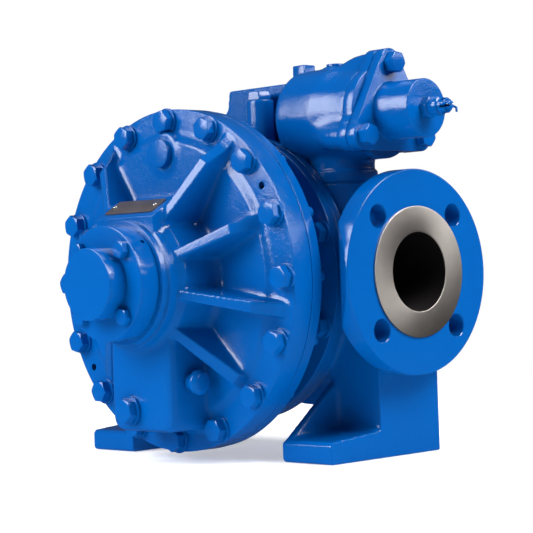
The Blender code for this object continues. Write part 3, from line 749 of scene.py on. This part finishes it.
def pumpBody():
    bm = bmesh.new()
    spun(bm, [(0.0, -0.0380), (0.1364, -0.0380), (0.1364, -0.0299), (body["drumR"], -0.0299), (body["drumR"], 0.0524),
              (0.1294, 0.0524), (0.1294, 0.0636), (0.0, 0.0636)], steps=256)
    back = body["portFaceX"] - body["flangeT"]
    for side in (1, -1):
        spun(bm, [(0.0, 0.010), (body["neckRingR"] - 0.0002, 0.010), (body["neckRingR"] - 0.0002, body["seatZ"] - 0.0003),
                  (0.0, body["seatZ"] - 0.0003)], "Z", (side * body["neckX"], body["neckY"], 0.0), 96)
        spun(bm, [(0.0, side * 0.080), (0.0382, side * 0.080), (0.0382, side * 0.1385),
                  (body["portNeckR"] - 0.002, side * 0.1390), (body["portNeckR"], side * 0.1420),
                  (body["portNeckR"], side * (back + 0.004)), (0.0, side * (back + 0.004))], "X", steps=128)
        xs = sorted((side * 0.105, side * 0.1665))
        bar(bm, [(-0.0945, -0.168), (0.051, -0.168), (0.0525, -0.030), (-0.030, -0.030), (-0.030, -0.1425),
                 (-0.0935, -0.148), (-0.0965, -0.151), (-0.0965, -0.166)], xs[0], xs[1], "YZ")
        xs = sorted((side * 0.1051, side * 0.1140))
        bar(bm, [(-0.0925, -0.1480), (-0.0320, -0.1000), (-0.0200, -0.0850), (-0.0200, -0.1500), (-0.0925, -0.1500)],
            xs[0], xs[1], "YZ")
    spun(bm, [(0.0, 0.090), (body["bossR"] + 0.0002, 0.090), (body["bossR"], body["bossTopZ"]),
              (0.0, body["bossTopZ"])], "Z", (*body["bossXY"], 0.0), 64)
    skin = fused(bm, body, 170000)
    bores = bmesh.new()
    for side in (1, -1):
        spun(bores, [(0.0, side * 0.087), (body["boreR"], side * 0.087), (body["boreR"], side * 0.21),
                     (0.0, side * 0.21)], "X", steps=128)
    skin = opened(skin, bores)

    # Machined rings at both ends of the drum and the seats of the two necks
    bm = bmesh.new()
    spun(bm, [(0.090, -0.0385), (0.1370, -0.0385, 0.0006), (0.1370, -0.0295, 0.0012), (0.090, -0.0295)], steps=256,
         loop=True)
    spun(bm, [(0.090, 0.0520), (0.1300, 0.0520, 0.0012), (0.1300, 0.0640, 0.0006), (0.090, 0.0640)], steps=256,
         loop=True)
    for side in (1, -1):
        spun(bm, [(0.0, 0.070), (body["neckRingR"], 0.070), (body["neckRingR"], body["seatZ"], 0.0008),
                  (0.0, body["seatZ"])], "Z", (side * body["neckX"], body["neckY"], 0.0), 96)
    assembled("pump_body_casting", [skin, meshOf(bm)], castEnamel, ["pump_body"])

    for side, tag in ((1, "right"), (-1, "left")):
        face = body["portFaceX"]
        bm = bmesh.new()
        spun(bm, [(0.0, side * (back - 0.020)), (body["portNeckR"] + 0.0003, side * (back - 0.020)),
                  (body["portNeckR"] + 0.0003, side * back, 0.0050), (body["flangeR"], side * back, 0.0016),
                  (body["flangeR"], side * face, 0.0012), (0.0, side * face)], "X", steps=224, ease=5)
        tools = bmesh.new()
        spun(tools, [(0.0, side * 0.12), (body["boreR"] + 0.0004, side * 0.12),
                     (body["boreR"] + 0.0004, side * 0.21), (0.0, side * 0.21)], "X", steps=128)
        for angle in (45, 135, 225, 315):
            y, z = onCircle(body["holeCircleR"], angle)
            spun(tools, [(0.0, side * 0.16), (body["holeR"], side * 0.16), (body["holeR"], side * (face - 0.0008)),
                         (body["holeR"] + 0.0008, side * face), (body["holeR"] + 0.0008, side * 0.21),
                         (0.0, side * 0.21)], "X", (0.0, y, z), 48)
        front = -body["flangeR"]
        bar(tools, [(side * (face - 0.0015), front - 0.01), (side * (face - 0.0015), front - 0.0002),
                    (side * (back - 0.001), front + 0.0135), (side * (back - 0.001), front - 0.01)],
            -0.09, 0.09, "XY")
        assembled("port_flange_" + tag, [opened(meshOf(bm), tools)], turnedEnamel, sharp=32.0)
        bm = bmesh.new()
        spun(bm, [(body["boreR"] + 0.0002, side * (face - 0.003)), (body["raisedR"], side * (face - 0.003)),
                  (body["raisedR"], side * (face + body["raisedT"]), 0.0004),
                  (body["boreR"] + 0.0002, side * (face + body["raisedT"]), 0.0005)], "X", steps=192, loop=True)
        assembled("raised_face_" + tag, [meshOf(bm)], faceSteel)
        # Near-black lining and closing disc inside the bore: bare iron, with the deep bore's shade painted into its
        # colour
        bm = bmesh.new()
        spun(bm, [(0.0, side * 0.0870), (body["boreR"] + 0.0006, side * 0.0870),
                  (body["boreR"] + 0.0006, side * (face + body["raisedT"] - 0.0006)),
                  (body["boreR"] - 0.0002, side * (face + body["raisedT"] - 0.0006)),
                  (body["boreR"] - 0.0002, side * 0.0890, 0.004), (0.0, side * 0.0890)], "X", steps=128)
        assembled("port_bore_" + tag, [meshOf(bm)], boreIronAndPaintedShade)
    bm = bmesh.new()
    hexagonal(bm, 0.0212, body["bossTopZ"] + 0.0003, body["bossTopZ"] + 0.0080, "Z", (*body["bossXY"], 0.0), 20.0)
    assembled("vent_plug_head", [meshOf(bm)], turnedEnamel, ["vent_plug"])
    bm = bmesh.new()
    spun(bm, [(0.0, 0.0643), (0.1220, 0.0643, 0.0006), (0.1220, 0.0763, 0.0014), (0.0980, 0.0763, 0.0040),
              (0.0900, 0.0860, 0.0060), (0.0800, 0.0940, 0.0040), (0.0, 0.0940)], steps=224, ease=6)
    assembled("rear_cover_casting", [meshOf(bm)], castEnamel, ["rear_cover"])
    places = [onCircle(0.1110, 22.5 + 45 * k) for k in range(8)]
    fastened("rear_cover_bolts", boltShape(0.0170, 0.0075, 0.0, 0.0),
             [(x, 0.0762, z) for x, z in places], (0.0, 1.0, 0.0), turnedEnamel, {"turnRange": pi / 3, "seed": 5})


pumpBody()
print("stage: body and ports")

valve = {
    "axisZ": 0.148,
    "chamberR": 0.047,
    "jointX": 0.157,
    "flangeT": 0.012,
    "boltR": 0.045,
    "cornerR": 0.0135,
    "endR": 0.0425,
    "bonnetR": 0.027,
    "bonnetEndX": 0.209,
    "nutAcross": 0.0172,
    "screwR": 0.0070,
    "screwEndX": 0.2385,
    "voxel": 0.0010,
    "evenPasses": 5,
    "fillPasses": 50,
}


def cornered(angle, inset=0.0):
    # Distance from the valve's axis to the edge of its three-cornered flange
    a = radians((angle - 90 + 60) % 120 - 60)
    straight = (valve["boltR"] * 0.5 + valve["cornerR"] - inset) / cos(pi / 3 - abs(a))
    off = valve["boltR"] * sin(abs(a))
    r = valve["cornerR"] - inset
    if off < r:
        round = valve["boltR"] * cos(a) + (r * r - off * off) ** 0.5
        turn = atan2((r * r - off * off) ** 0.5 * sin(abs(a)) + off * cos(a), 1.0)
        if hypot(round * cos(a) - valve["boltR"], round * sin(a)) <= r + 1e-6 and round < straight:
            return round
    return straight


def flangePlate(bm, low, high, least=0.0, edge=0.0009):
    rows = []
    for x, inset in ((low, edge), (low + edge * 0.3, edge * 0.3), (low + edge, 0.0), (high - edge, 0.0),
                     (high - edge * 0.3, edge * 0.3), (high, edge)):
        rows.append([(x, *(Vector(onCircle(max(cornered(k * 2.5, inset), least - inset), k * 2.5))
                           + Vector((0.0, valve["axisZ"])))) for k in range(144)])
    stacked(bm, rows)


def neckOn(bm, side, top):
    low = body["seatZ"] + 0.0021
    spun(bm, [(0.0, low), (body["neckRingR"], low, 0.0006), (body["neckRingR"], 0.0960, 0.0012),
              (body["neckR"], 0.0985, 0.0020), (body["neckR"], top), (0.0, top)], "Z",
         (side * body["neckX"], body["neckY"], 0.0), 96)


def valveParts():
    flange = valve["jointX"] - valve["flangeT"]
    bm = bmesh.new()
    spun(bm, [(0.0, 0.0575), (0.0425, 0.0575, 0.0060), (valve["chamberR"], 0.0630, 0.0040),
              (valve["chamberR"], 0.1000), (0.0, 0.1000)], "X", (0.0, 0.0, valve["axisZ"]), 128)
    rows = []
    for x, share in ((0.0980, 0.0), (0.1060, 0.03), (0.1130, 0.30), (0.1200, 0.62), (0.1270, 0.84), (0.1360, 0.95),
                     (flange + 0.001, 1.0)):
        row = []
        for k in range(144):
            r = valve["chamberR"] * (1 - share) + max(cornered(k * 2.5, 0.0022), valve["endR"]) * share
            y, z = onCircle(r, k * 2.5)
            row.append((x, y, z + valve["axisZ"]))
        rows.append(row)
    stacked(bm, rows)
    spun(bm, [(0.0, 0.1000), (body["neckR"], 0.1000), (body["neckR"], 0.1060), (body["neckR"] + 0.004, 0.118),
              (0.0, 0.118)], "Z", (body["neckX"], body["neckY"], 0.0), 96)
    spun(bm, [(0.0, 0.168), (0.0110, 0.168), (0.0110, 0.1960), (0.0, 0.1960)], "Z", (0.098, 0.0, 0.0), 64)
    skin = fused(bm, valve, 110000)
    clear = bmesh.new()
    spun(clear, [(0.0, -0.0785), (0.1380, -0.0785), (0.1380, -0.0285), (0.0, -0.0285)], "Y", steps=192)
    skin = opened(skin, clear)
    bm = bmesh.new()
    flangePlate(bm, flange, valve["jointX"] - 0.0001, valve["endR"])
    neckOn(bm, 1, 0.1060)
    assembled("valve_body_casting", [skin, meshOf(bm)], castEnamel, ["valve_body"])

    bm = bmesh.new()
    spun(bm, [(0.0, 0.1965), (0.0085, 0.1965), (0.0085, 0.1986, 0.0006), (0.0, 0.1986)], "Z", (0.098, 0.0, 0.0), 48)
    assembled("round_plug_head", [meshOf(bm)], turnedEnamel, ["round_plug"])

    bm = bmesh.new()
    flangePlate(bm, valve["jointX"] + 0.0003, valve["jointX"] + 0.0110)
    spun(bm, [(0.0, valve["jointX"] + 0.005), (0.0315, valve["jointX"] + 0.005),
              (0.0315, valve["jointX"] + 0.0108), (valve["bonnetR"], valve["jointX"] + 0.0108, 0.0045),
              (valve["bonnetR"] - 0.0003, valve["bonnetEndX"], 0.0012), (0.0, valve["bonnetEndX"])], "X",
         (0.0, 0.0, valve["axisZ"]), 128, ease=6)
    assembled("valve_bonnet_casting", [meshOf(bm)], castEnamel, ["valve_bonnet"])
    places = []
    for corner in (90, 210, 330):
        y, z = onCircle(valve["boltR"], corner)
        places.append((valve["jointX"] + 0.0109, y, z + valve["axisZ"]))
    fastened("valve_flange_bolts", boltShape(0.0175, 0.0100, 0.0, 0.0), places, (1.0, 0.0, 0.0), turnedEnamel,
             {"turnRange": pi / 3, "seed": 3})

    centre = (0.0, 0.0, valve["axisZ"])
    end = valve["bonnetEndX"]
    bm = bmesh.new()
    hexagonal(bm, valve["nutAcross"], end + 0.0003, end + 0.0075, "X", centre, 10.0)
    assembled("lock_nut_hexagon", [meshOf(bm)], turnedEnamel, ["lock_nut"])

    # Screw end with a slotted crown, and the pin through two of its slots with its legs bent apart
    r = valve["screwR"]
    tip = valve["screwEndX"]
    bm = bmesh.new()
    spun(bm, [(0.0, end + 0.0078), (r + 0.0020, end + 0.0078, 0.0008), (r + 0.0020, end + 0.0175, 0.0014),
              (r, end + 0.0185, 0.0005), (r, tip - 0.0040, 0.0012), (0.0040, tip - 0.0040), (0.0040, tip, 0.0012),
              (0.0, tip)], "X", centre, 64)
    tools = bmesh.new()
    for angle in (0, 60, 120):
        d = Vector(onCircle(0.02, angle + 8))
        n = Vector((-d.y, d.x)).normalized() * 0.0011
        corners = [d + n, d - n, -d - n, -d + n]
        outline = [(p.x, p.y + valve["axisZ"]) for p in corners]
        bar(tools, outline, tip - 0.0085, tip + 0.01 if angle == 0 else tip - 0.0041, "YZ")
    assembled("adjusting_screw_end", [opened(meshOf(bm), tools)], turnedEnamel, ["adjusting_screw"])
    bm = bmesh.new()
    pinAt = tip - 0.0065
    for leg in (-1, 1):
        path = [Vector((pinAt + leg * 0.0005, -0.0105, valve["axisZ"] + 0.0007)),
                Vector((pinAt + leg * 0.0005, 0.0085, valve["axisZ"])),
                Vector((pinAt + leg * 0.0030, 0.0108, valve["axisZ"] - leg * 0.0020)),
                Vector((pinAt + leg * 0.0052, 0.0085, valve["axisZ"] - leg * 0.0055))]
        wire(bm, path, 0.0011)
    assembled("split_pin_wire", [meshOf(bm)], turnedEnamel, ["split_pin"])


valveParts()
print("stage: relief valve")

duct = {
    "frontY": 0.000,
    "rearY": 0.048,
    "topZ": 0.187,
    "stepZ": 0.160,
    "floorZ": 0.118,
    "stepX": -0.050,
    "endX": -0.118,
    "headR": 0.0345,
    "voxel": 0.0012,
    "evenPasses": 4,
    "fillPasses": 30,
}


def ductParts():
    bm = bmesh.new()
    bar(bm, [(0.0617, duct["floorZ"]), (0.0617, duct["topZ"]), (duct["stepX"], duct["topZ"]),
             (duct["stepX"] - 0.003, duct["stepZ"] + 0.008), (duct["stepX"] - 0.012, duct["stepZ"]),
             (duct["endX"], duct["stepZ"]), (duct["endX"], duct["floorZ"])], duct["frontY"], duct["rearY"], "XZ")
    spun(bm, [(0.0, duct["floorZ"]), (duct["headR"], duct["floorZ"]), (duct["headR"], duct["stepZ"] - 0.005),
              (duct["headR"] - 0.003, duct["stepZ"] - 0.0005), (0.0, duct["stepZ"] - 0.0005)], "Z",
         (-body["neckX"], body["neckY"], 0.0), 96)
    spun(bm, [(0.0, 0.100), (body["neckR"], 0.100), (body["neckR"], 0.125), (0.0, 0.125)], "Z",
         (-body["neckX"], body["neckY"], 0.0), 96)
    skin = fused(bm, duct, 60000)
    bm = bmesh.new()
    neckOn(bm, -1, 0.1060)
    assembled("bypass_duct_casting", [skin, meshOf(bm)], castEnamel, ["bypass_duct"])
    bm = bmesh.new()
    h = 0.0080
    square = eased([(-h, -h, 0.0012), (h, -h, 0.0012), (h, h, 0.0012), (-h, h, 0.0012)], 3, True)
    rows = []
    for z, scale in ((duct["topZ"] + 0.0003, 1.0), (0.2022, 0.985), (0.2030, 0.95), (0.2034, 0.88)):
        rows.append([(0.0440 + x * scale, 0.0125 + y * scale, z) for x, y in square])
    stacked(bm, rows)
    assembled("square_plug_head", [meshOf(bm)], turnedEnamel, ["square_plug"])
    for side, name in ((1, "valve_gasket"), (-1, "duct_gasket")):
        bm = bmesh.new()
        low = body["seatZ"] + 0.0003
        spun(bm, [(0.0, low), (body["neckRingR"] - 0.0006, low), (body["neckRingR"] - 0.0006, low + 0.0015),
                  (0.0, low + 0.0015)], "Z", (side * body["neckX"], body["neckY"], 0.0), 96)
        assembled(name + "_ring", [meshOf(bm)], turnedEnamel, [name])


ductParts()
print("stage: bypass duct")

studio = {
    "paperColour": "F2F2F2",
    "paperGlow": 0.45,
    "paperHalfWidth": 0.75,
    "bowlR": 3.0,
    "room": 0.05,
    "left": 34.0,
    "right": 30.0,
    "card": 3.0,
    "top": 5.0,
}


def studioSet():
    right = Vector((0.69614172, 0.71689563, -0.03804421))
    up = Vector((0.02669116, 0.02711111, 0.99927602))
    back = Vector((0.71740803, -0.69665318, -0.0002616))
    lens = bpy.data.cameras.new("camera")
    lens.sensor_width = 36.0
    lens.lens = 125.382
    lens.clip_start = 0.05
    lens.clip_end = 50.0
    camera = bpy.data.objects.new("camera", lens)
    scene.collection.objects.link(camera)
    camera.matrix_world = Matrix((
        (right.x, up.x, back.x, 1.28445),
        (right.y, up.y, back.y, -1.20586),
        (right.z, up.z, back.z, 0.17761),
        (0.0, 0.0, 0.0, 1.0)))
    scene.camera = camera

    # Pale lit paper under the object
    made, tree = blankMaterial("pale lit paper")
    shader = addNode(tree, "ShaderNodeBsdfPrincipled", {
        "Base Color": linear(studio["paperColour"]), "Roughness": 0.8, "Emission Color": (1.0, 1.0, 1.0, 1.0),
        "Emission Strength": studio["paperGlow"]})
    addNode(tree, "ShaderNodeOutputMaterial", {"Surface": shader.outputs["BSDF"]})
    toward = Vector((back.x, back.y, 0.0)).normalized()
    side = Vector((right.x, right.y, 0.0)).normalized()
    bm = bmesh.new()
    corners = [(1.0, -1), (1.0, 1), (-1.0, 1), (-1.0, -1)]
    bm.faces.new([bm.verts.new(toward * away + side * u * studio["paperHalfWidth"] + Vector((0.0, 0.0, -0.0003)))
                  for away, u in corners])
    mesh = bpy.data.meshes.new("paper")
    bm.to_mesh(mesh)
    bm.free()
    paper = linked("paper", mesh)
    paper.data.materials.append(made)
    paper.visible_glossy = False

    # White bowl all round, wide enough to stand outside a camera on any side of the object
    glow, tree = blankMaterial("white backdrop")
    light = addNode(tree, "ShaderNodeEmission", {"Color": (1.0, 1.0, 1.0, 1.0), "Strength": 1.0})
    addNode(tree, "ShaderNodeOutputMaterial", {"Surface": light.outputs["Emission"]})
    wide = studio["bowlR"]
    bm = bmesh.new()
    spun(bm, [(0.0, -0.002), (wide, -0.002, 0.5), (wide + 0.2, wide)], "Z", steps=96, ease=12)
    bowl = linked("bowl", meshOf(bm, "bowl"))
    bowl.data.materials.append(glow)
    bowl.visible_glossy = False
    bowl.visible_diffuse = False
    bowl.visible_shadow = False

    middle = Vector((0.0, 0.0, 0.17))
    for name, azimuth, height, far, wide, tall, power in (
            ("left softbox", -69.0, 28.0, 1.6, 1.15, 1.05, studio["left"]),
            ("right softbox", 62.0, 42.0, 1.6, 0.85, 0.85, studio["right"]),
            ("right card", 94.0, 20.0, 1.6, 1.3, 0.24, studio["card"]),
            ("overhead softbox", 150.0, 76.0, 1.6, 1.0, 1.0, studio["top"])):
        a = radians(azimuth)
        e = radians(height)
        way = toward * cos(a) * cos(e) + side * sin(a) * cos(e) + Vector((0.0, 0.0, sin(e)))
        lamp = bpy.data.lights.new(name, "AREA")
        lamp.shape = "RECTANGLE"
        lamp.size = wide
        lamp.size_y = tall
        lamp.energy = power
        obj = bpy.data.objects.new(name, lamp)
        scene.collection.objects.link(obj)
        obj.location = middle + way * far
        obj.rotation_mode = "QUATERNION"
        obj.rotation_quaternion = way.to_track_quat("Z", "Y")

    world = bpy.data.worlds.new("room")
    world.use_nodes = True
    world.node_tree.nodes["Background"].inputs["Color"].default_value = (1.0, 1.0, 1.0, 1.0)
    world.node_tree.nodes["Background"].inputs["Strength"].default_value = studio["room"]
    scene.world = world
    scene.view_settings.view_transform = "Standard"


studioSet()
print("stage: studio")
